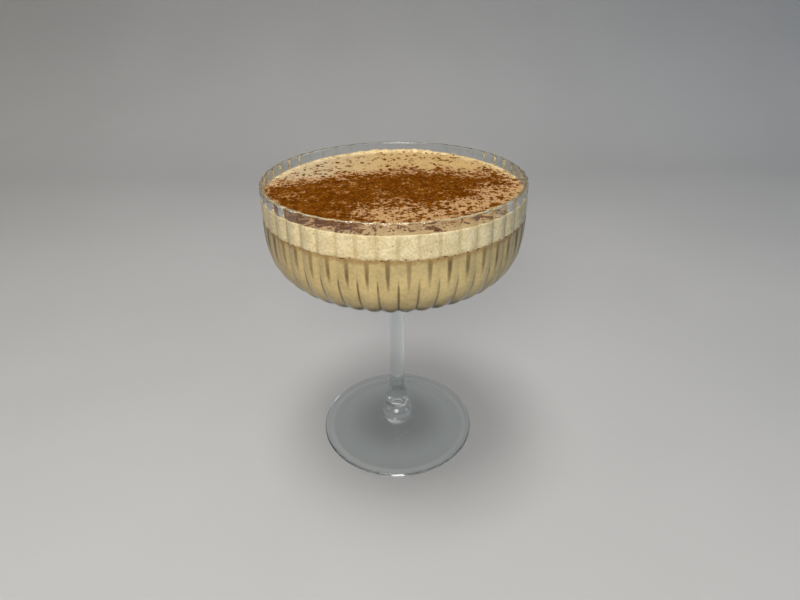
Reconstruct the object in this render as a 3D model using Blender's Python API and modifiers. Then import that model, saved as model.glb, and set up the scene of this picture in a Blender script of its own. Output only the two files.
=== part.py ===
"""Coffee smoothie: a layered coffee drink in a ribbed coupe glass on a stem.

Units are metres, +Z is up, and the origin is the centre of the foot's underside.
The glass is one solid. The coffee and the foam above it are solids of their own,
and the clumps of spice powder are fused to the top of the foam.
"""

import math
import random

import bmesh
import bpy
from mathutils import Matrix, Vector

# Glass as a whole
HEIGHT = 0.1372
RIM_RADIUS = 0.0550
FOOT_RADIUS = 0.0390

# Bowl: a wall that widens a little, then rounds under in a squarish curve
BELLY_RADIUS = 0.0554
BELLY_DROP = 0.0143
BOWL_DEPTH = 0.0455
RADIUS_POWER = 3.8
DEPTH_POWER = 3.2
RIM_WALL = 0.0017
BELLY_WALL = 0.0019
BASE_WALL = 0.0036
RIM_ROUND = 0.0007

# Ribs: convex lobes side by side, with a narrow valley between each two
RIBS = 46
STEPS_PER_RIB = 4
RIB_DEPTH = 0.0008
RIB_FADE_RADIUS = 0.0400
FRONT_VALLEY = math.radians(271.65)

# Stem, with a collar and a ball where it meets the foot
STEM_STEPS = 24
STEM_TOP_RADIUS = 0.0041
STEM_LOW_RADIUS = 0.0037
STEM_WAIST_HEIGHT = 0.0305
STEM_FILLET = 0.0034
COLLAR_RADIUS = 0.0053
COLLAR_HEIGHT = 0.0195
NECK_RADIUS = 0.0046
NECK_HEIGHT = 0.0151
BALL_RADIUS = 0.0082
BALL_HEIGHT = 0.0088
BALL_FLATTENING = 0.89

# Foot: a thin disc with a rounded edge, slightly hollow underneath
FOOT_STEPS = 64
FOOT_CENTRE_TOP = 0.0038
FOOT_EDGE_TOP = 0.0021
FOOT_EDGE_ROUND = 0.0012
FOOT_RING_INNER = 0.0335
FOOT_HOLLOW = 0.0009

# Drink: levels are measured down from the rim
FOAM_DROP = 0.0046
COFFEE_DROP = 0.0137
GAP = 0.0003
DRINK_STEPS = 48
FOAM_WAVE = 0.00012

# Clumps of spice powder on the foam
CLUMPS = 78
CLUMP_SEED = 11
CLUMP_LARGEST = 0.0016
CLUMP_SMALLEST = 0.0007
CLUMP_RISE = 0.00033
CLUMP_MARGIN = 0.0026
DUST_CENTRE = (-0.010, -0.009)
DUST_REACH = (0.040, 0.030)


def remove_everything():
    for obj in list(bpy.data.objects):
        bpy.data.objects.remove(obj, do_unlink=True)


def new_collection(name, parent=None):
    collection = bpy.data.collections.new(name)
    holder = parent or bpy.context.scene.collection
    holder.children.link(collection)
    return collection


def material(name, colour, roughness, metallic=0.0, transmission=0.0):
    mat = bpy.data.materials.new(name)
    mat.use_nodes = True
    shader = mat.node_tree.nodes["Principled BSDF"]
    shader.inputs["Base Color"].default_value = (*colour, 1.0)
    shader.inputs["Roughness"].default_value = roughness
    shader.inputs["Metallic"].default_value = metallic
    shader.inputs["Transmission Weight"].default_value = transmission
    return mat


def bake_modifiers(obj):
    """Replace an object's mesh with the mesh that its modifiers give."""
    graph = bpy.context.evaluated_depsgraph_get()
    graph.update()
    baked = bpy.data.meshes.new_from_object(obj.evaluated_get(graph))
    obj.modifiers.clear()
    obj.data = baked


def turned(name, profile, steps, collection):
    """Turn a profile of (radius, height) points, given top to bottom, round the Z axis."""
    mesh = bpy.data.meshes.new(name)
    points = [(radius, 0.0, height) for radius, height in profile]
    mesh.from_pydata(points, [(i, i + 1) for i in range(len(points) - 1)], [])
    obj = bpy.data.objects.new(name, mesh)
    collection.objects.link(obj)
    screw = obj.modifiers.new("Turn", "SCREW")
    screw.steps = steps
    screw.render_steps = steps
    screw.use_merge_vertices = True
    screw.merge_threshold = 0.00001
    bake_modifiers(obj)
    return obj


def boolean(obj, other, operation):
    """Join or cut an object with another object, or with every object of a collection."""
    modifier = obj.modifiers.new(operation.title(), "BOOLEAN")
    modifier.operation = operation
    modifier.solver = "EXACT"
    if isinstance(other, bpy.types.Collection):
        modifier.operand_type = "COLLECTION"
        modifier.collection = other
        tools = list(other.objects)
    else:
        modifier.object = other
        tools = [other]
    bake_modifiers(obj)
    for tool in tools:
        bpy.data.objects.remove(tool, do_unlink=True)


def finish(obj, mat):
    """Give an object its one material, and shade it smooth apart from real edges."""
    obj.data.materials.clear()
    obj.data.materials.append(mat)
    obj.data.shade_smooth()
    obj.data.set_sharp_from_angle(angle=math.radians(40.0))


def arc(centre, radius, start, end, count):
    """Points on a circle in the profile plane. Angles are in degrees, 90 is straight up."""
    angles = [math.radians(start + (end - start) * i / (count - 1)) for i in range(count)]
    return [(centre[0] + radius * math.cos(a), centre[1] + radius * math.sin(a)) for a in angles]


def bowl_curve(belly_radius, bottom_height, rows, under_radii):
    """The rounded lower part of the bowl, from its belly to its bottom centre."""
    belly_height = HEIGHT - BELLY_DROP
    depth = belly_height - bottom_height
    turns = [0.44 * math.pi * i / rows for i in range(rows + 1)]
    turns += [math.acos((r / belly_radius) ** (RADIUS_POWER / 2.0)) for r in under_radii]
    points = []
    for turn in turns:
        radius = belly_radius * math.cos(turn) ** (2.0 / RADIUS_POWER)
        height = belly_height - depth * math.sin(turn) ** (2.0 / DEPTH_POWER)
        points.append((radius, height))
    return points + [(0.0, bottom_height)]


def inner_wall(clearance, rows):
    """The bowl's inside from the belly down, shrunk by a clearance."""
    bottom = HEIGHT - BOWL_DEPTH + BASE_WALL + clearance
    return bowl_curve(BELLY_RADIUS - BELLY_WALL - clearance, bottom, rows, [0.020])


def inner_radius(height):
    """The bowl's inner radius between the rim and the belly."""
    share = min(1.0, (HEIGHT - height) / BELLY_DROP)
    rim = RIM_RADIUS - RIM_WALL
    return rim + (BELLY_RADIUS - BELLY_WALL - rim) * share


def press_ribs(obj):
    """Press the valleys between the ribs into the bowl's outer side."""
    obj.data.transform(Matrix.Rotation(FRONT_VALLEY, 4, "Z"))
    shape = bmesh.new()
    shape.from_mesh(obj.data)
    shape.normal_update()
    moves = []
    for vert in shape.verts:
        radius = vert.co.xy.length
        if radius < 0.001 or vert.co.z > HEIGHT - 0.00001:
            continue
        inward = -vert.normal
        if vert.co.z > HEIGHT - BELLY_DROP:
            inward = Vector((-vert.co.x, -vert.co.y, 0.0)).normalized()
        azimuth = math.atan2(vert.co.y, vert.co.x)
        lobe = abs(math.sin(RIBS * (azimuth - FRONT_VALLEY) / 2.0))
        depth = RIB_DEPTH * min(1.0, radius / RIB_FADE_RADIUS)
        moves.append((vert, inward * depth * (1.0 - lobe)))
    for vert, move in moves:
        vert.co += move
    shape.to_mesh(obj.data)
    shape.free()


def make_bowl(collection):
    """The bowl as a solid blank with its ribs, before it is hollowed."""
    top_land = RIM_RADIUS - RIM_ROUND - 0.0001
    profile = [(0.0, HEIGHT), (top_land, HEIGHT)]
    profile += arc((RIM_RADIUS - RIM_ROUND, HEIGHT - RIM_ROUND), RIM_ROUND, 50.0, 0.0, 2)
    profile += bowl_curve(BELLY_RADIUS, HEIGHT - BOWL_DEPTH, 8, [0.024, 0.014])
    bowl = turned("glass", profile, RIBS * STEPS_PER_RIB, collection)
    press_ribs(bowl)
    return bowl


def make_stem(collection):
    """The stem from inside the bowl's base down to inside the foot."""
    under = HEIGHT - BOWL_DEPTH
    fillet = arc((STEM_TOP_RADIUS + STEM_FILLET, under - STEM_FILLET), STEM_FILLET, 90.0, 180.0, 4)
    profile = [(0.0, under + 0.0016), (STEM_TOP_RADIUS + STEM_FILLET, under + 0.0016)]
    profile += fillet
    profile += [(STEM_LOW_RADIUS, STEM_WAIST_HEIGHT)]
    profile += [(COLLAR_RADIUS - 0.0010, COLLAR_HEIGHT + 0.0045)]
    profile += [(COLLAR_RADIUS, COLLAR_HEIGHT), (COLLAR_RADIUS - 0.0001, COLLAR_HEIGHT - 0.0016)]
    profile += [(NECK_RADIUS, NECK_HEIGHT)]
    ball = arc((0.0, 0.0), BALL_RADIUS, 53.0, -45.0, 7)
    profile += [(radius, BALL_HEIGHT + rise * BALL_FLATTENING) for radius, rise in ball]
    profile += [(0.0, BALL_HEIGHT - 0.0063)]
    return turned("stem", profile, STEM_STEPS, collection)


def make_foot(collection):
    """The foot: a low cone on top, a flat ring to stand on, and a shallow hollow inside it."""
    edge = (FOOT_RADIUS - FOOT_EDGE_ROUND, FOOT_EDGE_ROUND)
    profile = [(0.0, FOOT_CENTRE_TOP), (0.009, FOOT_CENTRE_TOP - 0.0002)]
    profile += [(0.020, FOOT_EDGE_TOP + 0.0008), (0.031, FOOT_EDGE_TOP + 0.0002)]
    profile += [(edge[0] - 0.0006, FOOT_EDGE_TOP)]
    profile += arc(edge, FOOT_EDGE_ROUND, 45.0, -90.0, 4)
    profile += [(FOOT_RING_INNER, 0.0), (FOOT_RING_INNER - 0.004, FOOT_HOLLOW * 0.6)]
    profile += [(0.0, FOOT_HOLLOW)]
    return turned("foot", profile, FOOT_STEPS, collection)


def make_hollow(collection):
    """The cutter that hollows the bowl out."""
    above = HEIGHT + 0.004
    profile = [(0.0, above), (inner_radius(HEIGHT), above), (inner_radius(HEIGHT), HEIGHT - 0.0001)]
    profile += inner_wall(0.0, 7)
    hollow = turned("bowl_hollow", profile, RIBS * 2, collection)
    hollow.data.transform(Matrix.Rotation(FRONT_VALLEY, 4, "Z"))
    hollow.hide_render = True
    hollow.display_type = "WIRE"
    return hollow


def make_glass(collection, cutters):
    glass = make_bowl(collection)
    boolean(glass, make_stem(collection), "UNION")
    boolean(glass, make_foot(collection), "UNION")
    boolean(glass, make_hollow(cutters), "DIFFERENCE")
    finish(glass, material("clear_glass", (0.90, 0.92, 0.91), 0.02, transmission=1.0))
    return glass


def make_coffee(collection):
    """The drink from the bowl's bottom to the underside of the foam."""
    top = HEIGHT - COFFEE_DROP - GAP
    profile = [(0.0, top), (inner_radius(top) - GAP, top)]
    profile += inner_wall(GAP, 7)[1:]
    coffee = turned("coffee", profile, DRINK_STEPS, collection)
    finish(coffee, material("milky_coffee", (0.54, 0.42, 0.22), 0.35))
    return coffee


def foam_wave(x, y):
    """The slight unevenness of the foam's top."""
    return FOAM_WAVE * (math.sin(130.0 * x + 1.0) + math.sin(110.0 * y + 90.0 * x)) / 2.0


def dust_density(x, y):
    """How much powder lies at a place: 1 in the thickest part, near 0 at the bare back edge."""
    across = (x - DUST_CENTRE[0]) / DUST_REACH[0]
    along = (y - DUST_CENTRE[1]) / DUST_REACH[1]
    return math.exp(-(across ** 2 + along ** 2) ** 1.5)


def clump_places(foam_radius):
    """Places and sizes of the clumps, the largest first, none touching another."""
    draw = random.Random(CLUMP_SEED)
    placed = []
    while len(placed) < CLUMPS:
        share = len(placed) / CLUMPS
        size = CLUMP_LARGEST + (CLUMP_SMALLEST - CLUMP_LARGEST) * share ** 0.7
        x = draw.uniform(-foam_radius, foam_radius)
        y = draw.uniform(-foam_radius, foam_radius)
        if math.hypot(x, y) > foam_radius - CLUMP_MARGIN or draw.random() > dust_density(x, y):
            continue
        if all(math.hypot(x - p[0], y - p[1]) > 1.35 * (size + p[2]) for p in placed):
            placed.append((x, y, size))
    return placed


def make_clump(x, y, size, top, draw, collection):
    """One flattened, uneven clump, sunk by a third of its height into the foam."""
    mesh = bpy.data.meshes.new("clump")
    shape = bmesh.new()
    bmesh.ops.create_icosphere(shape, subdivisions=1, radius=size)
    for vert in shape.verts:
        vert.co *= draw.uniform(0.78, 1.12)
        vert.co.y *= 0.72
    bmesh.ops.scale(shape, vec=(1.0, 1.0, 1.2 * CLUMP_RISE / size), verts=shape.verts)
    turn = Matrix.Rotation(draw.uniform(0.0, math.pi), 4, "Z")
    place = Matrix.Translation((x, y, top + foam_wave(x, y) - 0.00006))
    bmesh.ops.transform(shape, matrix=place @ turn, verts=shape.verts)
    shape.to_mesh(mesh)
    shape.free()
    collection.objects.link(bpy.data.objects.new("clump", mesh))


def make_foam(collection):
    """The foam layer, with the clumps of powder fused to its top."""
    top = HEIGHT - FOAM_DROP
    bottom = HEIGHT - COFFEE_DROP
    radius = inner_radius(top) - GAP
    rings = [0.0, 0.014, 0.028, 0.041, radius - 0.0015]
    profile = [(ring, top) for ring in rings] + [(radius, top - 0.0004)]
    profile += [(inner_radius(bottom) - GAP, bottom), (0.0, bottom)]
    foam = turned("foam", profile, DRINK_STEPS, collection)
    for vert in foam.data.vertices:
        if vert.co.z > top - 0.0001:
            vert.co.z += foam_wave(vert.co.x, vert.co.y)
    clumps = new_collection("clumps", collection)
    draw = random.Random(CLUMP_SEED + 1)
    for x, y, size in clump_places(radius):
        make_clump(x, y, size, top, draw, clumps)
    boolean(foam, clumps, "UNION")
    bpy.data.collections.remove(clumps)
    finish(foam, material("milk_foam", (0.80, 0.66, 0.44), 0.6))
    return foam


def main():
    remove_everything()
    parts = new_collection("coffee_smoothie")
    cutters = new_collection("cutters")
    make_glass(parts, cutters)
    make_coffee(parts)
    make_foam(parts)


main()
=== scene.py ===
"""A coffee smoothie in a ribbed coupe glass: fine glass, coffee, foam and spice powder.

The solid model gives the sizes and places. Each operator makes one piece, or one
group of like pieces, and the last one makes the floor, the lights and the camera.
"""

import math
import random

import bmesh
import bpy
import numpy as np
from bpy.props import FloatProperty, FloatVectorProperty, IntProperty, PointerProperty
from bpy.types import Operator, Panel, PropertyGroup
from mathutils import Matrix, Vector, noise


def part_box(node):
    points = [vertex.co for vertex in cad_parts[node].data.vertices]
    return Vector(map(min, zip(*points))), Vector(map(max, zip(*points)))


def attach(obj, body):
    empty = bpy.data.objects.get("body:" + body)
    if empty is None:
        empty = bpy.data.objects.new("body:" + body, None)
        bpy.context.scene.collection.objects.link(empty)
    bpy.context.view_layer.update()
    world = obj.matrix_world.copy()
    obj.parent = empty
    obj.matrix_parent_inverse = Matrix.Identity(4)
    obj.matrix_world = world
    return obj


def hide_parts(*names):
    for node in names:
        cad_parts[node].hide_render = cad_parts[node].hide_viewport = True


bl_info = {
    "name": "Coffee smoothie",
    "version": (1, 0, 0),
    "blender": (4, 5, 0),
    "location": "3D View > Sidebar > Smoothie",
    "description": "Makes a layered coffee drink in a ribbed coupe glass",
    "category": "Object",
}

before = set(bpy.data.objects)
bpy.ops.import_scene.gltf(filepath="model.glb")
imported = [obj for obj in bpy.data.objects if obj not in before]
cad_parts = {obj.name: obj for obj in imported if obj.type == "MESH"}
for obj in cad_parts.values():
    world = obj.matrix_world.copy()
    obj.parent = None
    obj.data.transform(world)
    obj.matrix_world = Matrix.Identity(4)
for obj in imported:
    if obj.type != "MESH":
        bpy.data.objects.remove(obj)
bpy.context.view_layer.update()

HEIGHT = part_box("glass")[1].z
GAP = 0.0003
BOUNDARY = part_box("coffee")[1].z + GAP
FOAM_TOP = HEIGHT - 0.0046

# Proportions of the bowl that the solids are made with
RIBS = 46
FRONT_VALLEY = math.radians(271.65)
BELLY_DROP = 0.0143
BOWL_DEPTH = 0.0455
RADIUS_POWER = 3.8
DEPTH_POWER = 3.2
RIM_RADIUS = 0.0550
RIM_WALL = 0.0017
BELLY_WALL = 0.0019
BASE_WALL = 0.0036
BELLY_RADIUS = 0.0554

# How the fine glass departs from the solid one, in metres
RIM_ROWS = (0.0016, 0.0040, 0.0090)
PLAIN_MIDDLE = 0.020
STEM_ROOT = 0.0085
RIB_START = 0.006
RIB_FULL = 0.040

# Where the glass's colour is darker: at the bowl's edges, partly for the thicker glass seen slantwise
# and partly as painted shade on the drink's sides, and on the foot round the ball, as a painted shadow
# of the bowl
BOWL_SHADE_HEIGHTS = (0.086, 0.094)
FOOT_SHADE_HEIGHTS = (0.011, 0.007)
FOOT_SHADE_REACH = (0.030, 0.010)
FOOT_SHADE_AMOUNT = 0.48
THICK_GLASS_AND_SHADE = 0.36
THROUGH_GLASS = (0.96, 0.97, 0.97, 1.0)

# Depths under the foam where the coffee's painted shade lines and shades change, in metres
CREST_END = 0.0145
LINES_MEET = 0.0065
VALLEY_FULL = 0.0110
VALLEY_WIDE = 0.0190
LINE_WAVER = 0.004
SHADE_DEPTHS = (0.0120, 0.0020)
# Painted shade on the coffee's underside: where it starts and where it is full
UNDERSIDE_SHADE_DEPTHS = (0.0206, 0.0240)
COFFEE_EDGE = (0.36, 0.20, 0.055)
# Painted shade colour of the coffee's underside
COFFEE_UNDERSIDE_SHADE = (0.065, 0.058, 0.035)

# Colours of the powder and of the foam between it
POWDER_DARK = (0.100, 0.026, 0.0008)
POWDER_LIGHT = (0.205, 0.066, 0.0030)
FOAM_GOLDEN = (0.57, 0.385, 0.165)
FOAM_BROWN = (0.34, 0.155, 0.035)
FOAM_SPECK = (0.20, 0.10, 0.03)
FOAM_SETTLED = (0.50, 0.31, 0.11)
# Painted shade along the rib valleys on the foam's side
FOAM_VALLEY_SHADE = (0.86, 0.80, 0.70)
GOLDEN_SIDE = (-0.035, 0.012)

# What decides whether a flake of powder is there, and how much the amount moves it
FLAKE_CHANCE = 0.42
FLAKE_GATHER = 0.40
FLAKE_SHAPE = 0.34
AMOUNT_SHARE = 0.46
AMOUNT_BASE = 0.305

# Powder layout on the foam: how far back it reaches at the centre and to the sides, how
# softly it ends there, and how much is left beside the wall, in metres from the centre
DUST_BACK = 0.0175
DUST_SLANT = 0.135
DUST_BOW = 3.3
DUST_FADE = 0.0190
DUST_RAGGED = 0.0060
DUST_WALL = 0.0470
DUST_WALL_WIDTH = 0.0045
LEAST_DUST = 0.03
BARE_SHARE = 0.40

# The foam's edge, which is paler and climbs the wall along the back, and its mesh rows
FOAM_CLIMB = 0.0011
CLIMB_START = 0.0519
CLIMB_WIDTH = 0.0016
FRINGE_START = 0.0485
FRINGE_WIDTH = 0.0035
FOAM_ROWS = 110
FOAM_SIDE_ROWS = 12

# Sizes of the powder, from the largest to the smallest, in metres
LARGE_CLUMPS = (0.00125, 0.00070)
SMALL_CLUMPS = (0.00068, 0.00028)
FINE_GRAINS = (0.00022, 0.00010)
STRAY_FLAKES = (0.0006, 0.0011)
FLECKS = (0.00016, 0.00042)
POWDER_MARGIN = 0.0006

# The photo's camera
PHOTO_LENS = 24.0
CAMERA_PLACE = (0.00198, -0.21792, 0.20371)
CAMERA_PITCH = math.radians(30.29)
CAMERA_ROLL = math.radians(0.647)

# The floor's sweep up into the wall, in metres
FLOOR_HALF_WIDTH = 12.0
FLOOR_FRONT = -6.0
SWEEP_START = 0.45
SWEEP_RADIUS = 0.35
WALL_TOP = 1.6

LIGHT_TARGET = (0.0, 0.0, 0.10)
LIGHT_BOUNCES = 24


class GlassSettings(PropertyGroup):
    rib_depth: FloatProperty(
        name="Rib depth", description="Depth of the valleys between the ribs",
        default=0.0008, subtype="DISTANCE", precision=4)
    steps_per_rib: IntProperty(
        name="Steps per rib", description="Mesh columns across one rib", default=12)
    inner_ripple: FloatProperty(
        name="Inner ripple", description="How far the inner wall follows the ribs",
        default=0.00012, subtype="DISTANCE", precision=5)
    tint: FloatVectorProperty(
        name="Tint", description="Colour of the glass", subtype="COLOR",
        default=(0.83, 0.875, 0.885))


class DrinkSettings(PropertyGroup):
    wall_reach: FloatProperty(
        name="Wall reach", description="How far the drink reaches into the glass wall",
        default=0.00025, subtype="DISTANCE", precision=5)
    coffee: FloatVectorProperty(
        name="Coffee", description="Colour of the milky coffee", subtype="COLOR",
        default=(0.70, 0.515, 0.218))
    # Painted shade: the colour of the dark lines that the glass's ribs throw on the coffee
    coffee_rib_shade: FloatVectorProperty(
        name="Coffee shade", description="Colour of the lines that follow the ribs",
        subtype="COLOR", default=(0.14, 0.070, 0.013))
    foam: FloatVectorProperty(
        name="Foam", description="Colour of the foam", subtype="COLOR",
        default=(0.90, 0.735, 0.435))
    foam_top: FloatVectorProperty(
        name="Foam top", description="Colour of the foam's top where no powder lies",
        subtype="COLOR", default=(0.55, 0.425, 0.26))
    foam_stained: FloatVectorProperty(
        name="Stained foam", description="Colour of the foam's top between the powder",
        subtype="COLOR", default=(0.52, 0.31, 0.145))


class SpiceSettings(PropertyGroup):
    clumps: IntProperty(name="Clumps", description="Number of powder clumps", default=3600)
    grains: IntProperty(name="Grains", description="Number of fine grains", default=9000)
    strays: IntProperty(name="Strays", description="Number of flakes on bare foam", default=48)
    flecks: IntProperty(
        name="Flecks", description="Number of flecks between foam and coffee", default=170)
    colour: FloatVectorProperty(
        name="Powder", description="Colour of the powder", subtype="COLOR",
        default=POWDER_DARK)
    light_colour: FloatVectorProperty(
        name="Light powder", description="Colour of the lighter powder", subtype="COLOR",
        default=POWDER_LIGHT)


class StageSettings(PropertyGroup):
    floor: FloatVectorProperty(
        name="Floor", description="Colour of the floor", subtype="COLOR",
        default=(0.47, 0.47, 0.47))
    sky: FloatProperty(name="Sky", description="Strength of the light all round", default=0.85)
    front: FloatProperty(name="Front light", description="Power of the main light", default=4.4)
    above: FloatProperty(name="Top light", description="Power of the light above", default=4.5)
    window: FloatProperty(name="Window", description="Power of the bluish light", default=5.0)
    lamp: FloatProperty(name="Lamp", description="Power of the warm light", default=4.0)


# Node helpers

def link(tree, source, target):
    """Join an output to an input."""
    tree.links.new(source, target)


def node(tree, kind, **values):
    """A node of a kind, with its plain properties set."""
    made = tree.nodes.new(kind)
    for name, value in values.items():
        setattr(made, name, value)
    return made


def feed(tree, socket, value):
    """Set a socket to a number or colour, or link another socket to it."""
    if isinstance(value, bpy.types.NodeSocket):
        link(tree, value, socket)
    elif isinstance(value, (tuple, list)) and len(value) == 3 and socket.type == "RGBA":
        socket.default_value = (*value, 1.0)
    else:
        socket.default_value = value


def math_node(tree, operation, first, second=None, third=None):
    """One sum on numbers, each of them a number or another node's output."""
    made = node(tree, "ShaderNodeMath", operation=operation)
    for socket, value in zip(made.inputs, (first, second, third)):
        if value is not None:
            feed(tree, socket, value)
    return made.outputs[0]


def multiply(tree, *values):
    """The product of two or more numbers."""
    product = values[0]
    for value in values[1:]:
        product = math_node(tree, "MULTIPLY", product, value)
    return product


def mix_colour(tree, factor, first, second, blend="MIX"):
    """The second colour over the first, by a factor from 0 to 1."""
    made = node(tree, "ShaderNodeMix", data_type="RGBA", blend_type=blend)
    feed(tree, made.inputs["Factor"], factor)
    feed(tree, made.inputs[6], first)
    feed(tree, made.inputs[7], second)
    return made.outputs[2]


def ramp(tree, value, low, high, to_low=0.0, to_high=1.0):
    """Map a value smoothly from one range to another, and hold it past the ends."""
    made = node(tree, "ShaderNodeMapRange", interpolation_type="SMOOTHSTEP")
    for socket, amount in zip(made.inputs, (value, low, high, to_low, to_high)):
        feed(tree, socket, amount)
    return made.outputs[0]


def noise_node(tree, vector, scale, detail=2.0):
    """Soft noise from 0 to 1."""
    made = node(tree, "ShaderNodeTexNoise")
    link(tree, vector, made.inputs["Vector"])
    made.inputs["Scale"].default_value = scale
    made.inputs["Detail"].default_value = detail
    return made.outputs["Fac"]


def new_group(name, inputs, outputs):
    """A shader node group with named sockets, each given as (name, type, default)."""
    tree = bpy.data.node_groups.new(name, "ShaderNodeTree")
    for title, kind, default in inputs:
        socket = tree.interface.new_socket(name=title, in_out="INPUT", socket_type=kind)
        socket.default_value = default
    for title, kind in outputs:
        tree.interface.new_socket(name=title, in_out="OUTPUT", socket_type=kind)
    return tree, tree.nodes.new("NodeGroupInput"), tree.nodes.new("NodeGroupOutput")


def use_group(tree, group, **values):
    """A shader node group placed in a material, with its own values."""
    made = node(tree, "ShaderNodeGroup", node_tree=group)
    for name, value in values.items():
        feed(tree, made.inputs[name], value)
    return made


def rib_shade_group():
    """Lines of painted shade that follow the ribs: one set along the valleys, and one half way between
    them.

    Start is where a line's edge lies on a wave from 0 to 1, so near 1 gives a thin line."""
    if "rib_shade_lines" in bpy.data.node_groups:
        return bpy.data.node_groups["rib_shade_lines"]
    number = "NodeSocketFloat"
    tree, entry, leave = new_group(
        "rib_shade_lines", [("Start", number, 0.8)], [("Valley", number), ("Crest", number)])
    place = node(tree, "ShaderNodeTexCoord")
    axes = node(tree, "ShaderNodeSeparateXYZ")
    link(tree, place.outputs["Object"], axes.inputs[0])
    azimuth = math_node(tree, "ARCTAN2", axes.outputs["Y"], axes.outputs["X"])
    turn = math_node(tree, "SUBTRACT", azimuth, FRONT_VALLEY)
    wave = math_node(tree, "COSINE", multiply(tree, turn, float(RIBS)))
    for name, sign in (("Valley", 0.5), ("Crest", -0.5)):
        rise = math_node(tree, "MULTIPLY_ADD", wave, sign, 0.5)
        link(tree, ramp(tree, rise, entry.outputs["Start"], 1.0), leave.inputs[name])
    return tree


def pit_group():
    """Small bubble pits at two scales, as a height from 0 in a pit to 1."""
    if "bubble_pits" in bpy.data.node_groups:
        return bpy.data.node_groups["bubble_pits"]
    number = "NodeSocketFloat"
    tree, entry, leave = new_group("bubble_pits", [("Scale", number, 900.0)], [("Height", number)])
    place = node(tree, "ShaderNodeTexCoord").outputs["Object"]
    heights = []
    for share in (1.0, 2.3):
        cells = node(tree, "ShaderNodeTexVoronoi")
        link(tree, place, cells.inputs["Vector"])
        link(tree, multiply(tree, entry.outputs[0], share), cells.inputs["Scale"])
        heights.append(ramp(tree, cells.outputs["Distance"], 0.08, 0.34))
    link(tree, multiply(tree, *heights), leave.inputs[0])
    return tree


def mottle_group():
    """Two colours mixed by soft noise."""
    if "mottle" in bpy.data.node_groups:
        return bpy.data.node_groups["mottle"]
    number, colour = "NodeSocketFloat", "NodeSocketColor"
    tree, entry, leave = new_group(
        "mottle",
        [("First", colour, (1, 1, 1, 1)), ("Second", colour, (0, 0, 0, 1)),
         ("Scale", number, 100.0), ("Low", number, 0.4), ("High", number, 0.6)],
        [("Color", colour)])
    place = node(tree, "ShaderNodeTexCoord").outputs["Object"]
    cloud = node(tree, "ShaderNodeTexNoise")
    link(tree, place, cloud.inputs["Vector"])
    link(tree, entry.outputs["Scale"], cloud.inputs["Scale"])
    cloud.inputs["Detail"].default_value = 4.0
    mask = ramp(tree, cloud.outputs["Fac"], entry.outputs["Low"], entry.outputs["High"])
    mixed = mix_colour(tree, mask, entry.outputs["First"], entry.outputs["Second"])
    link(tree, mixed, leave.inputs["Color"])
    return tree


def new_material(name):
    """A material, its node tree, its Principled shader and the object's own coordinates."""
    mat = bpy.data.materials.new(name)
    mat.use_nodes = True
    tree = mat.node_tree
    shader = tree.nodes["Principled BSDF"]
    place = node(tree, "ShaderNodeTexCoord").outputs["Object"]
    return mat, tree, shader, place


def add_bump(tree, shader, height, strength, distance):
    """Low relief on a surface, from a height that changes over it."""
    bump = node(tree, "ShaderNodeBump")
    bump.inputs["Strength"].default_value = strength
    bump.inputs["Distance"].default_value = distance
    link(tree, height, bump.inputs["Height"])
    link(tree, bump.outputs["Normal"], shader.inputs["Normal"])


def height_of(tree, place):
    """How high a place is above the floor."""
    axes = node(tree, "ShaderNodeSeparateXYZ")
    link(tree, place, axes.inputs[0])
    return axes.outputs["Z"]


def reach_of(tree, place):
    """How far a place is from the glass's own upright axis."""
    flat = node(tree, "ShaderNodeVectorMath", operation="MULTIPLY")
    flat.inputs[1].default_value = (1.0, 1.0, 0.0)
    link(tree, place, flat.inputs[0])
    length = node(tree, "ShaderNodeVectorMath", operation="LENGTH")
    link(tree, flat.outputs["Vector"], length.inputs[0])
    return length.outputs["Value"]


def ragged_height(tree, place):
    """The height, pushed up by fine noise so that the line between the layers is uneven."""
    fine = noise_node(tree, place, 700.0, 3.0)
    return math_node(tree, "MULTIPLY_ADD", fine, 0.0030, height_of(tree, place))


# Materials

def clear_glass_material(tint):
    """Clear glass with faint smears. It is darker at the bowl's edges, partly for the thicker glass
    seen slantwise and partly as painted shade on the drink's sides, and round the foot's ball as a
    painted shadow of the bowl.
    Lamps and lit surfaces shine through it to the drink."""
    mat, tree, shader, place = new_material("clear_glass")
    slant = node(tree, "ShaderNodeLayerWeight")
    slant.inputs["Blend"].default_value = 0.5
    up = height_of(tree, place)
    # Painted shade: the bowl's glass darkens where it is seen slantwise, partly for thick glass and
    # partly to shade the drink's sides
    bowl = ramp(tree, slant.outputs["Facing"], 0.10, 0.78)
    bowl = multiply(tree, bowl, ramp(tree, up, *BOWL_SHADE_HEIGHTS))
    # Painted shadow: the foot's glass darkens round the ball, where the bowl's shadow falls
    foot = ramp(tree, reach_of(tree, place), *FOOT_SHADE_REACH, 0.0, FOOT_SHADE_AMOUNT)
    foot = multiply(tree, foot, ramp(tree, up, *FOOT_SHADE_HEIGHTS))
    thick_and_shaded = math_node(tree, "MAXIMUM", bowl, foot)
    edge = tuple(c * THICK_GLASS_AND_SHADE for c in tint)
    link(tree, mix_colour(tree, thick_and_shaded, tint, edge), shader.inputs["Base Color"])
    shader.inputs["IOR"].default_value = 1.5
    shader.inputs["Transmission Weight"].default_value = 1.0
    smears = noise_node(tree, place, 60.0, 3.0)
    link(tree, ramp(tree, smears, 0.35, 0.75, 0.0, 0.03), shader.inputs["Roughness"])
    add_bump(tree, shader, noise_node(tree, place, 90.0, 1.0), 0.12, 0.0004)
    path = node(tree, "ShaderNodeLightPath")
    clear = node(tree, "ShaderNodeBsdfTransparent")
    clear.inputs["Color"].default_value = THROUGH_GLASS
    surface = shader.outputs[0]
    for ray in ("Is Shadow Ray", "Is Diffuse Ray"):
        both = node(tree, "ShaderNodeMixShader")
        link(tree, path.outputs[ray], both.inputs[0])
        link(tree, surface, both.inputs[1])
        link(tree, clear.outputs[0], both.inputs[2])
        surface = both.outputs[0]
    link(tree, surface, tree.nodes["Material Output"].inputs["Surface"])
    return mat


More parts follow.
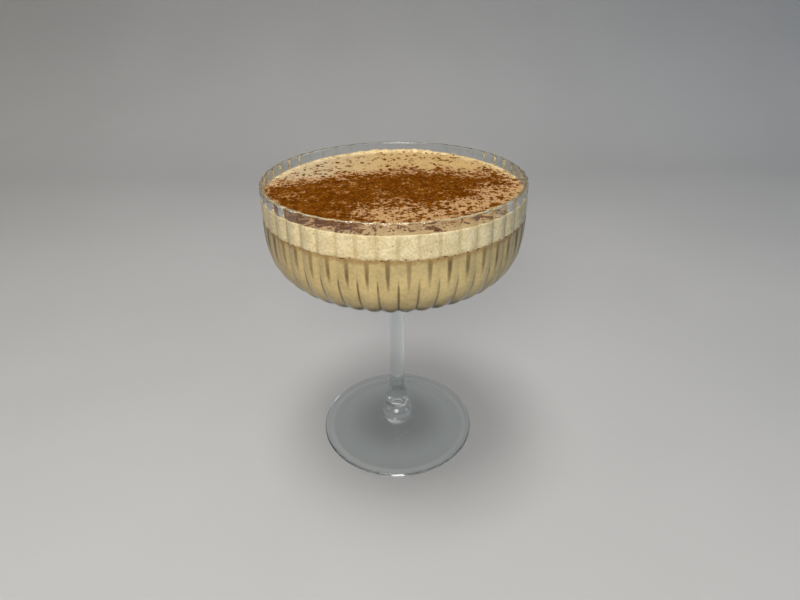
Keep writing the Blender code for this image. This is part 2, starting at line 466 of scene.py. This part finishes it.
def coffee_material(settings):
    """Milky coffee: a brown line under the foam, lines of painted shade that follow the ribs, and a
    painted dark shade on its underside. One set of lines tapers down from the foam, the other starts
    between them and runs to the bottom."""
    mat, tree, shader, place = new_material("milky_coffee")
    up = height_of(tree, place)
    clouds = use_group(
        tree, mottle_group(), First=tuple(settings.coffee), Scale=150.0,
        Second=tuple(c * 0.84 for c in settings.coffee), Low=0.35, High=0.7)
    colour = clouds.outputs["Color"]
    # Painted shade: dark lines along the ribs, standing for the shade and bending of light by the
    # glass's ribs
    dark = tuple(settings.coffee_rib_shade)
    waver = multiply(tree, noise_node(tree, place, 130.0), LINE_WAVER)
    level = math_node(tree, "ADD", up, math_node(tree, "SUBTRACT", waver, LINE_WAVER / 2.0))
    uneven = ramp(tree, noise_node(tree, place, 75.0, 1.0), 0.35, 0.65, 0.6, 1.0)
    start = ramp(tree, level, BOUNDARY - CREST_END, BOUNDARY, 0.97, 0.78)
    upper = use_group(tree, rib_shade_group(), Start=start).outputs["Crest"]
    fade = ramp(tree, level, BOUNDARY - CREST_END, BOUNDARY - LINES_MEET, 0.0, 0.9)
    colour = mix_colour(tree, multiply(tree, upper, fade, uneven), colour, dark)
    start = ramp(tree, level, BOUNDARY - VALLEY_WIDE, BOUNDARY - LINES_MEET, 0.84, 0.97)
    lower = use_group(tree, rib_shade_group(), Start=start).outputs["Valley"]
    fade = ramp(tree, level, BOUNDARY - LINES_MEET, BOUNDARY - VALLEY_FULL, 0.0, 0.9)
    lower = multiply(tree, lower, fade, uneven)
    colour = mix_colour(tree, lower, colour, dark)
    shade = ramp(tree, up, *(BOUNDARY - depth for depth in SHADE_DEPTHS), 1.04, 0.88)
    colour = mix_colour(tree, 1.0, colour, shade, "MULTIPLY")
    low = ragged_height(tree, place)
    edge = ramp(tree, low, BOUNDARY - 0.0012, BOUNDARY + 0.0012, 0.0, 0.8)
    colour = mix_colour(tree, edge, colour, COFFEE_EDGE)
    grain = ramp(tree, noise_node(tree, place, 900.0, 3.0), 0.35, 0.65, 0.90, 1.05)
    colour = mix_colour(tree, 1.0, colour, grain, "MULTIPLY")
    # Painted shade: the coffee darkens towards its underside, where the bowl's bottom is in shade
    sagging = math_node(tree, "MULTIPLY_ADD", lower, -0.0020, up)
    under = ramp(tree, sagging, *(BOUNDARY - depth for depth in UNDERSIDE_SHADE_DEPTHS), 0.0, 0.92)
    colour = mix_colour(tree, under, colour, COFFEE_UNDERSIDE_SHADE)
    link(tree, colour, shader.inputs["Base Color"])
    shader.inputs["Roughness"].default_value = 0.5
    shader.inputs["Specular IOR Level"].default_value = 0.1
    return mat


def chance_cells(tree, place, scale):
    """Small cells: the distance from each cell's centre, and two chances from 0 to 1."""
    cells = node(tree, "ShaderNodeTexVoronoi")
    link(tree, place, cells.inputs["Vector"])
    cells.inputs["Scale"].default_value = scale
    split = node(tree, "ShaderNodeSeparateColor")
    link(tree, cells.outputs["Color"], split.inputs[0])
    return cells.outputs["Distance"], split.outputs[0], split.outputs[1]


def ragged_place(tree, place, scale, reach):
    """The place, pushed about a little so that edges come out ragged."""
    cloud = node(tree, "ShaderNodeTexNoise")
    link(tree, place, cloud.inputs["Vector"])
    cloud.inputs["Scale"].default_value = scale
    push = node(tree, "ShaderNodeVectorMath", operation="MULTIPLY_ADD")
    link(tree, cloud.outputs["Color"], push.inputs[0])
    push.inputs[1].default_value = (reach, reach, reach)
    link(tree, place, push.inputs[2])
    return push.outputs[0]


def powder_tone(tree, place, chance, dark, light):
    """Dark to lighter powder, by each flake's own chance and by soft noise."""
    cloud = noise_node(tree, place, 800.0, 3.0)
    both = math_node(tree, "MULTIPLY_ADD", chance, 0.45, cloud)
    return mix_colour(tree, ramp(tree, both, 0.52, 1.02), dark, light)


def powder_mask(tree, place, amount):
    """Where powder covers the foam. Each small flake is there by chance, more of them with
    the amount, and they gather in loose patches. Gives the flakes' mask, the mask of a thin
    dusting round them, and the powder's colour."""
    ragged = ragged_place(tree, place, 1300.0, 0.0010)
    distance, chance, tone = chance_cells(tree, ragged, 680.0)
    gather = ramp(tree, noise_node(tree, place, 230.0, 2.0), 0.28, 0.72)
    level = math_node(tree, "MULTIPLY_ADD", chance, FLAKE_CHANCE, multiply(tree, gather, FLAKE_GATHER))
    level = math_node(tree, "MULTIPLY_ADD", distance, FLAKE_SHAPE, level)
    cover = math_node(tree, "MULTIPLY_ADD", amount, AMOUNT_SHARE, AMOUNT_BASE)
    above = math_node(tree, "SUBTRACT", cover, level)
    colour = powder_tone(tree, place, tone, POWDER_DARK, POWDER_LIGHT)
    return ramp(tree, above, -0.03, 0.05), ramp(tree, above, -0.22, 0.03), colour


def foam_material(settings):
    """Foam: cream at the side with fine pits and specks, with painted shade in the pits and in lines
    along the rib valleys. Its top is tan, and powder covers it by the amount that the mesh carries."""
    mat, tree, shader, place = new_material("milk_foam")
    side = use_group(
        tree, mottle_group(), First=tuple(settings.foam), Scale=240.0,
        Second=tuple(c * f for c, f in zip(settings.foam, (0.90, 0.87, 0.80))), Low=0.4, High=0.65)
    amount = node(tree, "ShaderNodeAttribute", attribute_name="powder").outputs["Fac"]
    sides = node(tree, "ShaderNodeSeparateXYZ")
    link(tree, place, sides.inputs[0])
    drift = noise_node(tree, place, 60.0)
    across = math_node(tree, "MULTIPLY_ADD", drift, 0.020, sides.outputs["X"])
    golden = ramp(tree, across, *GOLDEN_SIDE)
    pale = mix_colour(tree, golden, tuple(settings.foam_top), FOAM_GOLDEN)
    bare = mix_colour(tree, ramp(tree, amount, 0.02, 0.45), pale, tuple(settings.foam_stained))
    bare = mix_colour(tree, ramp(tree, amount, 0.60, 1.05, 0.0, 0.8), bare, FOAM_BROWN)
    on_top = node(tree, "ShaderNodeAttribute", attribute_name="on_top").outputs["Fac"]
    colour = mix_colour(tree, on_top, side.outputs["Color"], bare)
    pits = use_group(tree, pit_group(), Scale=1000.0).outputs["Height"]
    # Painted shade: the foam's colour darkens in the bubble pits
    colour = mix_colour(tree, 1.0, colour, ramp(tree, pits, 0.0, 0.6, 0.78, 1.0), "MULTIPLY")
    grain = ramp(tree, noise_node(tree, place, 1200.0, 3.0), 0.35, 0.65, 0.85, 1.06)
    colour = mix_colour(tree, 1.0, colour, grain, "MULTIPLY")
    distance, chance = chance_cells(tree, place, 620.0)[:2]
    speck = multiply(tree, ramp(tree, distance, 0.24, 0.12), ramp(tree, chance, 0.74, 0.78), 0.65)
    colour = mix_colour(tree, speck, colour, FOAM_SPECK)
    low = ragged_height(tree, place)
    settled = ramp(tree, low, BOUNDARY + 0.0021, BOUNDARY + 0.0010, 0.0, 0.75)
    colour = mix_colour(tree, settled, colour, FOAM_SETTLED)
    # Painted shade: faint darker lines along the rib valleys on the foam's side
    lines = use_group(tree, rib_shade_group(), Start=0.74)
    shaded = mix_colour(tree, lines.outputs["Valley"], colour, FOAM_VALLEY_SHADE, "MULTIPLY")
    colour = mix_colour(tree, on_top, shaded, colour)
    thick, thin, powder = powder_mask(tree, place, amount)
    colour = mix_colour(tree, multiply(tree, thin, 0.35, on_top), colour, POWDER_LIGHT)
    colour = mix_colour(tree, multiply(tree, thick, on_top), colour, powder)
    link(tree, colour, shader.inputs["Base Color"])
    shader.inputs["Roughness"].default_value = 0.8
    shader.inputs["Specular IOR Level"].default_value = 0.02
    relief = math_node(tree, "MULTIPLY_ADD", thick, 0.7, pits)
    add_bump(tree, shader, relief, 0.4, 0.0003)
    return mat


def spice_material(name, settings):
    """Dry brown powder, from dark to lighter brown by noise."""
    mat, tree, shader, place = new_material(name)
    tone = chance_cells(tree, place, 450.0)[2]
    powder = powder_tone(tree, place, tone, tuple(settings.colour), tuple(settings.light_colour))
    link(tree, powder, shader.inputs["Base Color"])
    shader.inputs["Roughness"].default_value = 0.9
    shader.inputs["Specular IOR Level"].default_value = 0.02
    add_bump(tree, shader, noise_node(tree, place, 4000.0, 2.0), 0.5, 0.0001)
    return mat


def floor_material(colour):
    """A pale floor with faint soft patches, and painted shade that makes it a little darker where it
    rises behind.
    """
    mat, tree, shader, place = new_material("pale_floor")
    tone = use_group(
        tree, mottle_group(), First=tuple(colour), Scale=6.0,
        Second=tuple(c * 0.96 for c in colour), Low=0.3, High=0.7)
    # Painted shade: the floor darkens where it rises into the wall
    up = ramp(tree, height_of(tree, place), 0.01, 0.20, 1.0, 0.82)
    colour = mix_colour(tree, 1.0, tone.outputs["Color"], up, "MULTIPLY")
    link(tree, colour, shader.inputs["Base Color"])
    shader.inputs["Roughness"].default_value = 0.9
    shader.inputs["Specular IOR Level"].default_value = 0.2
    return mat


# Shapes

def limit(value):
    """A value held between 0 and 1."""
    return min(1.0, max(0.0, value))


def new_piece(name, verts, faces, mat, slot, *nodes):
    """A smooth mesh piece that rides on the root and stands for CAD nodes, if any."""
    mesh = bpy.data.meshes.new(name)
    mesh.from_pydata([tuple(v) for v in verts], [], faces)
    mesh.validate()
    mesh.shade_smooth()
    mesh.materials.append(mat)
    piece = bpy.data.objects.new(name, mesh)
    bpy.context.scene.collection.objects.link(piece)
    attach(piece, "root")
    if nodes:
        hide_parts(*nodes)
    return piece


def arc(centre, radius, start, end, count):
    """Points on a circle in the profile plane. Angles are in degrees, 90 is straight up."""
    angles = [math.radians(start + (end - start) * i / (count - 1)) for i in range(count)]
    return [(centre[0] + radius * math.cos(a), centre[1] + radius * math.sin(a)) for a in angles]


def flowing(points, per_span):
    """More points along a smooth curve through the given ones."""
    ends = [points[0]] + list(points) + [points[-1]]
    made = []
    for i in range(1, len(ends) - 2):
        a, b, c, d = (np.array(p) for p in ends[i - 1:i + 3])
        for step in range(per_span):
            t = step / per_span
            made.append(tuple(0.5 * (2 * b + (c - a) * t + (2 * a - 5 * b + 4 * c - d) * t ** 2
                                     + (3 * b - a - 3 * c + d) * t ** 3)))
    return made + [points[-1]]


def bowl_curve(belly_radius, bottom, rows, last_radius):
    """The rounded lower part of the bowl, from its belly to a last radius under it."""
    belly = HEIGHT - BELLY_DROP
    last = math.acos((last_radius / belly_radius) ** (RADIUS_POWER / 2.0))
    points = []
    for i in range(rows + 1):
        turn = last * math.sin(0.5 * math.pi * i / rows)
        radius = belly_radius * math.cos(turn) ** (2.0 / RADIUS_POWER)
        points.append((radius, belly - (belly - bottom) * math.sin(turn) ** (2.0 / DEPTH_POWER)))
    return points


def inner_radius(height):
    """The bowl's inner radius between the rim and the belly."""
    share = min(1.0, (HEIGHT - height) / BELLY_DROP)
    rim = RIM_RADIUS - RIM_WALL
    return rim + (BELLY_RADIUS - BELLY_WALL - rim) * share


def lobe(azimuth):
    """0 in the valley between two ribs and 1 on top of a rib, with the valley's tip rounded."""
    wave = np.sin(RIBS * (azimuth - FRONT_VALLEY) / 2.0)
    return np.sqrt(wave ** 2 + 0.006) / math.sqrt(1.006)


def ring_points(radius, height, steps, move=(0.0, 0.0)):
    """One ring of a turned shape. Its valleys move by an offset in radius and height."""
    azimuth = FRONT_VALLEY + np.arange(steps) * 2.0 * math.pi / steps
    valley = 1.0 - lobe(azimuth)
    out = radius + move[0] * valley
    return np.stack([out * np.cos(azimuth), out * np.sin(azimuth), height + move[1] * valley], 1)


def join_rings(rings):
    """Faces between rings, also where one ring has a whole number of times more points."""
    verts = np.concatenate(rings)
    faces = []
    start = 0
    for upper, lower in zip(rings, rings[1:]):
        below = start + len(upper)
        n, m = len(upper), len(lower)
        if n == 1 or m == 1:
            many, first, one = (m, below, start) if n == 1 else (n, start, below)
            for i in range(many):
                a, b = first + i, first + (i + 1) % many
                faces.append((one, a, b) if n == 1 else (a, one, b))
        elif n == m:
            for i in range(n):
                j = (i + 1) % n
                faces.append((start + i, below + i, below + j, start + j))
        elif n > m:
            span = n // m
            for i in range(m):
                top = [start + (i * span + k) % n for k in range(span, -1, -1)]
                faces.append((*top, below + i, below + (i + 1) % m))
        start = below
    return verts, faces


def make_glass_rings(settings):
    """The rings of the whole glass, from the inside's bottom over the rim to the foot."""
    fine = RIBS * settings.steps_per_rib
    depth, ripple = settings.rib_depth, settings.inner_ripple
    bottom = HEIGHT - BOWL_DEPTH + BASE_WALL
    inside = bowl_curve(BELLY_RADIUS - BELLY_WALL, bottom, 26, 0.003)[::-1]
    rings = [np.array([[0.0, 0.0, bottom]])]
    for radius, height in inside:
        fade = limit((radius - PLAIN_MIDDLE) / PLAIN_MIDDLE)
        rings.append(ring_points(radius, height, fine, (-ripple * fade, 0.0)))
    rim_in = RIM_RADIUS - RIM_WALL
    half = RIM_WALL / 2.0
    for drop in RIM_ROWS[::-1]:
        height = HEIGHT - drop
        rings.append(ring_points(inner_radius(height), height, fine, (-ripple, 0.0)))
    for radius, height in arc((rim_in + half, HEIGHT - half), half, 180.0, 0.0, 13):
        outward = (radius - rim_in) / RIM_WALL
        rings.append(ring_points(radius, height, fine, (-ripple - (depth - ripple) * outward, 0.0)))
    for drop in RIM_ROWS[1:]:
        wall = RIM_RADIUS + (BELLY_RADIUS - RIM_RADIUS) * drop / BELLY_DROP
        rings.append(ring_points(wall, HEIGHT - drop, fine, (-depth, 0.0)))
    outside = bowl_curve(BELLY_RADIUS, HEIGHT - BOWL_DEPTH, 40, STEM_ROOT)
    for i, (radius, height) in enumerate(outside):
        before, after = outside[max(i - 1, 0)], outside[min(i + 1, len(outside) - 1)]
        along = Vector((after[0] - before[0], after[1] - before[1])).normalized()
        fade = depth * limit(radius / RIB_FULL) * limit((radius - STEM_ROOT) / RIB_START)
        rings.append(ring_points(radius, height, fine, (along.y * fade, -along.x * fade)))
    return rings


def stem_and_foot():
    """The profile from under the bowl down the stem and over the foot to its underside."""
    under = HEIGHT - BOWL_DEPTH
    stem = [(0.0076, under - 0.00008), (0.0056, under - 0.0008), (0.0045, under - 0.0024)]
    stem += [(0.0041, under - 0.0055), (0.0040, 0.066), (0.0038, 0.045), (0.0037, 0.0305)]
    stem += [(0.0039, 0.0268), (0.0043, 0.0240), (0.0049, 0.0216), (0.0053, 0.0196)]
    stem += [(0.00528, 0.0182), (0.0050, 0.0168), (0.00455, 0.0154)]
    turns = [math.radians(54.0 - 12.0 * i) for i in range(9)]
    ball = [(0.0082 * math.cos(a), 0.0088 + 0.0073 * math.sin(a)) for a in turns]
    foot = [(0.0066, 0.0038), (0.0085, 0.0036), (0.014, 0.0033), (0.022, 0.0028)]
    foot += [(0.031, 0.0023), (0.0366, 0.0021)]
    edge = arc((0.0378, 0.0012), 0.0012, 60.0, -75.0, 8)
    below = [(0.0366, 0.0), (0.0345, 0.0), (0.0325, 0.0002), (0.029, 0.0006), (0.015, 0.0009)]
    return flowing(stem + ball + foot, 4) + edge + flowing(below + [(0.002, 0.0009)], 3)


class SMOOTHIE_OT_glass(Operator):
    """Make the ribbed glass with its stem and foot"""

    bl_idname = "smoothie.glass"
    bl_label = "Glass"

    def execute(self, context):
        settings = context.scene.smoothie_glass
        rings = make_glass_rings(settings)
        for radius, height in stem_and_foot():
            rings.append(ring_points(radius, height, RIBS * 2))
        rings.append(np.array([[0.0, 0.0, rings[-1][0][2]]]))
        verts, faces = join_rings(rings)
        mat = clear_glass_material(tuple(settings.tint))
        new_piece("coupe_glass", verts, faces, mat, "glass", "glass")
        return {"FINISHED"}


# Drink

def boundary_wave(azimuth):
    """The slight unevenness of the line where the coffee meets the foam."""
    waves = ((3.0, 1.0), (7.0, 1.0), (19.0, 0.8), (41.0, 0.6), (67.0, 0.5))
    return 0.00011 * sum(size * np.sin(count * azimuth + count) for count, size in waves)


def plain_ring(radius, height, steps, wave=0.0):
    """One round ring, which follows the line between the layers by a share."""
    azimuth = np.arange(steps) * 2.0 * math.pi / steps
    lift = wave * boundary_wave(azimuth)
    return np.stack([radius * np.cos(azimuth), radius * np.sin(azimuth), height + lift], 1)


class SMOOTHIE_OT_coffee(Operator):
    """Make the coffee, which reaches just into the glass wall"""

    bl_idname = "smoothie.coffee"
    bl_label = "Coffee"

    def execute(self, context):
        settings = context.scene.smoothie_drink
        steps = RIBS * 6
        reach = settings.wall_reach
        side = inner_radius(BOUNDARY) + reach
        rings = [np.array([[0.0, 0.0, BOUNDARY - 0.0004]])]
        rings += [plain_ring(side - 0.001, BOUNDARY - 0.0004, steps)]
        rings += [plain_ring(side, BOUNDARY, steps, 1.0)]
        bottom = HEIGHT - BOWL_DEPTH + BASE_WALL - reach
        for radius, height in bowl_curve(BELLY_RADIUS - BELLY_WALL + reach, bottom, 30, 0.002):
            rings.append(plain_ring(radius, min(height, BOUNDARY - 0.0006), steps))
        rings.append(np.array([[0.0, 0.0, bottom]]))
        verts, faces = join_rings(rings)
        new_piece("milky_coffee", verts, faces, coffee_material(settings), "coffee", "coffee")
        return {"FINISHED"}


def dust_density(x, y):
    """The share of the foam that powder covers: most left of the centre, less at the right
    and along the front, little at the back."""
    back = DUST_BACK + DUST_SLANT * x - DUST_BOW * x * x
    back += DUST_RAGGED * noise.noise(Vector((x * 110.0, y * 110.0, 5.0)))
    inside = limit((back - y) / DUST_FADE + 0.5)
    left = limit((-0.030 - x) / 0.010)
    right = limit((x - 0.024) / 0.020) * (0.30 + 0.65 * limit((-0.001 - y) / 0.008))
    front = limit((-0.014 - y) / 0.016) * limit((x + 0.020) / 0.016)
    thick = max(0.34, 0.96 - 0.10 * left - right - 0.64 * front)
    thick += 0.12 * noise.noise(Vector((x * 90.0, y * 90.0, 11.0)))
    wall = limit((math.hypot(x, y) - DUST_WALL) / DUST_WALL_WIDTH)
    near = limit((-0.004 - y) / 0.020) * limit((x + 0.040) / 0.015)
    return max(LEAST_DUST, inside * thick * (1.0 - wall * (0.10 + 0.60 * near)))


def patchiness(x, y):
    """Uneven patches about 2 to 5 mm across, from 0 to 1."""
    wide = noise.noise(Vector((x * 260.0, y * 260.0, 3.0)))
    fine = noise.noise(Vector((x * 620.0, y * 620.0, 9.0)))
    return limit(0.5 + 0.9 * wide + 0.6 * fine)


def foam_height(x, y):
    """The foam's top: slow waves, small lumps, and an edge that climbs the wall."""
    radius = math.hypot(x, y)
    waves = 0.00006 * (math.sin(130.0 * x + 1.0) + math.sin(110.0 * y + 90.0 * x))
    lumps = 0.00005 * noise.noise(Vector((x * 900.0, y * 900.0, 0.0)))
    ragged = 0.6 + 1.3 * abs(noise.noise(Vector((x * 330.0, y * 330.0, 2.0))))
    ragged *= limit((y + 0.030) / 0.025) * limit((0.042 - abs(x)) / 0.028)
    climb = FOAM_CLIMB * ragged * limit((radius - CLIMB_START) / CLIMB_WIDTH) ** 2
    return FOAM_TOP + waves + lumps + climb


def foam_fringe(x, y):
    """1 on the foam's top, less at its paler edge along the back."""
    edge = limit((math.hypot(x, y) - FRINGE_START) / FRINGE_WIDTH)
    back = limit((y + 0.004) / 0.016)
    ragged = 0.70 + 0.9 * noise.noise(Vector((x * 420.0, y * 420.0, 7.0)))
    return 1.0 - 0.8 * limit(edge * back * ragged)


class SMOOTHIE_OT_foam(Operator):
    """Make the foam layer with its uneven top"""

    bl_idname = "smoothie.foam"
    bl_label = "Foam"

    def execute(self, context):
        settings = context.scene.smoothie_drink
        steps = RIBS * 8
        side = inner_radius(FOAM_TOP) + settings.wall_reach
        rings = [np.array([[0.0, 0.0, FOAM_TOP]])]
        for i in range(1, FOAM_ROWS + 1):
            ring = plain_ring(side * i / FOAM_ROWS, FOAM_TOP, steps)
            ring[:, 2] = [foam_height(x, y) for x, y, z in ring]
            rings.append(ring)
        for i in range(1, FOAM_SIDE_ROWS):
            share = i / FOAM_SIDE_ROWS
            height = FOAM_TOP + (BOUNDARY - FOAM_TOP) * i / FOAM_SIDE_ROWS
            rings.append(plain_ring(inner_radius(height) + settings.wall_reach, height, steps, share))
        edge = inner_radius(BOUNDARY) + settings.wall_reach
        rings.append(plain_ring(edge, BOUNDARY, steps, 1.0))
        rings.append(plain_ring(edge - 0.001, BOUNDARY - 0.0008, steps))
        rings.append(np.array([[0.0, 0.0, BOUNDARY - 0.0008]]))
        verts, faces = join_rings(rings)
        piece = new_piece("milk_foam", verts, faces, foam_material(settings), "foam", "foam")
        powder = piece.data.attributes.new("powder", "FLOAT", "POINT")
        powder.data.foreach_set("value", [dust_density(x, y) for x, y, z in verts])
        top = piece.data.attributes.new("on_top", "FLOAT", "POINT")
        last = 1 + (FOAM_ROWS - 1) * steps
        shares = [foam_fringe(x, y) if i < last else 0.0 for i, (x, y, z) in enumerate(verts)]
        top.data.foreach_set("value", shares)
        return {"FINISHED"}


# Spice

def ico_shape(subdivisions):
    """Vertices and faces of a ball made of triangles."""
    shape = bmesh.new()
    bmesh.ops.create_icosphere(shape, subdivisions=subdivisions, radius=1.0)
    verts = np.array([v.co[:] for v in shape.verts])
    faces = np.array([[v.index for v in f.verts] for f in shape.faces])
    shape.free()
    return verts, faces


def spun(points, angle):
    """Points turned about the upright axis."""
    c, s = math.cos(angle), math.sin(angle)
    return points @ np.array([[c, s, 0.0], [-s, c, 0.0], [0.0, 0.0, 1.0]])


def scatter(name, places, ball, mat, draw, flatten):
    """One joined mesh of uneven, flattened balls at (x, y, size) places on the foam."""
    ball_verts, ball_faces = ball
    verts, faces = [], []
    for number, (x, y, size) in enumerate(places):
        jitter = np.array([draw.uniform(0.70, 1.15) for _ in ball_verts])[:, None]
        points = ball_verts * jitter * size
        points[:, 1] *= draw.uniform(0.55, 1.0)
        points[:, 2] *= flatten * draw.uniform(0.7, 1.2)
        turned = spun(points, draw.uniform(0.0, 2.0 * math.pi))
        verts.append(turned + np.array([x, y, foam_height(x, y) + size * flatten * 0.25]))
        faces.append(ball_faces + number * len(ball_verts))
    return new_piece(name, np.concatenate(verts), np.concatenate(faces).tolist(), mat, "spice")


def powder_places(count, sizes, draw, reach):
    """Places on the foam drawn by the powder's density, largest first."""
    places = []
    while len(places) < count:
        x, y = draw.uniform(-reach, reach), draw.uniform(-reach, reach)
        if math.hypot(x, y) > reach:
            continue
        density = dust_density(x, y)
        if draw.random() > density * (0.25 + 0.75 * patchiness(x, y)):
            continue
        share = len(places) / count
        places.append((x, y, sizes[0] + (sizes[1] - sizes[0]) * share ** 0.5))
    return places


def stray_places(count, draw, reach):
    """Places of single flakes on the foam that is otherwise almost bare."""
    places = []
    while len(places) < count:
        x, y = draw.uniform(-reach, reach), draw.uniform(-reach, reach)
        if math.hypot(x, y) < reach and dust_density(x, y) < BARE_SHARE:
            places.append((x, y, draw.uniform(*STRAY_FLAKES)))
    return places


def boundary_flecks(count, mat, draw):
    """Dark flecks that settled where the foam meets the coffee."""
    ball_verts, ball_faces = ico_shape(1)
    verts, faces = [], []
    side = inner_radius(BOUNDARY) + 0.0002
    for number in range(count):
        azimuth = draw.uniform(0.0, 2.0 * math.pi)
        size = draw.uniform(*FLECKS)
        shape = np.array([0.5, draw.uniform(0.9, 1.6), draw.uniform(0.6, 1.0)])
        height = BOUNDARY + draw.gauss(-0.0001, 0.00035)
        place = np.array([side * math.cos(azimuth), side * math.sin(azimuth), height])
        verts.append(spun(ball_verts * size * shape, azimuth) + place)
        faces.append(ball_faces + number * len(ball_verts))
    faces = np.concatenate(faces).tolist()
    new_piece("boundary_flecks", np.concatenate(verts), faces, mat, "spice")


class SMOOTHIE_OT_spice(Operator):
    """Scatter the clumps and the fine grains of spice powder"""

    bl_idname = "smoothie.spice"
    bl_label = "Spice"

    def execute(self, context):
        settings = context.scene.smoothie_spice
        mat = spice_material("spice_powder", settings)
        draw = random.Random(5)
        reach = inner_radius(FOAM_TOP) - POWDER_MARGIN
        large = powder_places(settings.clumps // 8, LARGE_CLUMPS, draw, reach)
        small = powder_places(settings.clumps, SMALL_CLUMPS, draw, reach)
        fine = powder_places(settings.grains, FINE_GRAINS, draw, reach)
        large += stray_places(settings.strays, draw, reach)
        scatter("spice_clumps_large", large, ico_shape(2), mat, draw, 0.30)
        scatter("spice_clumps_small", small, ico_shape(1), mat, draw, 0.40)
        scatter("spice_grains", fine, ico_shape(1), mat, draw, 0.8)
        boundary_flecks(settings.flecks, mat, draw)
        return {"FINISHED"}


# Stage

def add_area(name, place, size, power, colour):
    """A soft light that points at the bowl and doesn't show."""
    lamp = bpy.data.lights.new(name, "AREA")
    lamp.shape = "RECTANGLE"
    lamp.size, lamp.size_y = size
    lamp.energy = power
    lamp.color = colour
    obj = bpy.data.objects.new(name, lamp)
    obj.location = place
    aim = Vector(LIGHT_TARGET) - Vector(place)
    obj.rotation_euler = aim.to_track_quat("-Z", "Y").to_euler()
    obj.visible_camera = False
    bpy.context.scene.collection.objects.link(obj)


def add_floor(colour):
    """A floor that sweeps up into a wall behind the glass."""
    sweep = arc((SWEEP_START, SWEEP_RADIUS), SWEEP_RADIUS, -90.0, 0.0, 25)
    profile = [(FLOOR_FRONT, 0.0), (SWEEP_START, 0.0), *sweep[1:]]
    profile.append((SWEEP_START + SWEEP_RADIUS, WALL_TOP))
    verts = [(x, y, z) for y, z in profile for x in (-FLOOR_HALF_WIDTH, FLOOR_HALF_WIDTH)]
    faces = [(2 * i, 2 * i + 1, 2 * i + 3, 2 * i + 2) for i in range(len(profile) - 1)]
    mesh = bpy.data.meshes.new("floor")
    mesh.from_pydata(verts, [], faces)
    mesh.shade_smooth()
    mesh.materials.append(floor_material(colour))
    floor = bpy.data.objects.new("floor", mesh)
    bpy.context.scene.collection.objects.link(floor)


def add_world(strength):
    """A dim room that gets lighter overhead."""
    world = bpy.data.worlds.new("soft_room")
    bpy.context.scene.world = world
    world.use_nodes = True
    tree = world.node_tree
    up = height_of(tree, node(tree, "ShaderNodeTexCoord").outputs["Generated"])
    back = tree.nodes["Background"]
    back.inputs["Color"].default_value = (1.0, 1.0, 1.0, 1.0)
    link(tree, ramp(tree, up, 0.1, 1.0, 0.09 * strength, 0.30 * strength), back.inputs["Strength"])


def add_camera():
    """The camera where the photo was taken from."""
    data = bpy.data.cameras.new("camera")
    data.lens = PHOTO_LENS
    data.sensor_width = 36.0
    data.clip_start = 0.01
    camera = bpy.data.objects.new("camera", data)
    tilt = Matrix.Rotation(math.pi / 2.0 - CAMERA_PITCH, 4, "X")
    roll = Matrix.Rotation(-CAMERA_ROLL, 4, "Z")
    camera.matrix_world = Matrix.Translation(CAMERA_PLACE) @ tilt @ roll
    bpy.context.scene.collection.objects.link(camera)
    bpy.context.scene.camera = camera


def let_light_run(cycles):
    """Enough bounces for light that is reflected many times inside the ball and the foot."""
    cycles.max_bounces = LIGHT_BOUNCES
    cycles.glossy_bounces = LIGHT_BOUNCES
    cycles.transmission_bounces = LIGHT_BOUNCES


class SMOOTHIE_OT_stage(Operator):
    """Make the floor, the lights and the camera"""

    bl_idname = "smoothie.stage"
    bl_label = "Stage"

    def execute(self, context):
        settings = context.scene.smoothie_stage
        add_floor(tuple(settings.floor))
        add_world(settings.sky)
        add_area("front", (-0.095, -0.635, 0.50), (0.40, 0.36), settings.front, (1.0, 0.965, 0.92))
        add_area("above", (-0.06, -0.03, 1.0), (0.3, 0.3), settings.above, (1.0, 0.98, 0.95))
        add_area("window", (1.70, -0.32, 0.52), (0.5, 0.8), settings.window, (0.45, 0.70, 1.0))
        add_area("lamp", (-1.70, -0.20, 0.90), (0.6, 0.6), settings.lamp, (1.0, 0.82, 0.64))
        add_camera()
        context.scene.view_settings.view_transform = "Standard"
        let_light_run(context.scene.cycles)
        return {"FINISHED"}


class SMOOTHIE_PT_panel(Panel):
    """Lists the pieces and their settings"""

    bl_label = "Smoothie"
    bl_space_type = "VIEW_3D"
    bl_region_type = "UI"
    bl_category = "Smoothie"

    def draw(self, context):
        scene = context.scene
        groups = (
            (scene.smoothie_glass, ("smoothie.glass",)),
            (scene.smoothie_drink, ("smoothie.coffee", "smoothie.foam")),
            (scene.smoothie_spice, ("smoothie.spice",)),
            (scene.smoothie_stage, ("smoothie.stage",)),
        )
        for settings, operators in groups:
            box = self.layout.box()
            for name in settings.__annotations__:
                box.prop(settings, name)
            for idname in operators:
                box.operator(idname)


GROUPS = {
    "smoothie_glass": GlassSettings,
    "smoothie_drink": DrinkSettings,
    "smoothie_spice": SpiceSettings,
    "smoothie_stage": StageSettings,
}
OPERATORS = (
    SMOOTHIE_OT_glass,
    SMOOTHIE_OT_coffee,
    SMOOTHIE_OT_foam,
    SMOOTHIE_OT_spice,
    SMOOTHIE_OT_stage,
)


def register():
    for kind in (*GROUPS.values(), *OPERATORS, SMOOTHIE_PT_panel):
        bpy.utils.register_class(kind)
    for name, group in GROUPS.items():
        setattr(bpy.types.Scene, name, PointerProperty(type=group))


def unregister():
    for name in GROUPS:
        delattr(bpy.types.Scene, name)
    for kind in (SMOOTHIE_PT_panel, *OPERATORS, *GROUPS.values()):
        bpy.utils.unregister_class(kind)


def main():
    register()
    for operator in OPERATORS:
        getattr(bpy.ops.smoothie, operator.bl_idname.split(".")[1])()


if __name__ == "__main__":
    main()
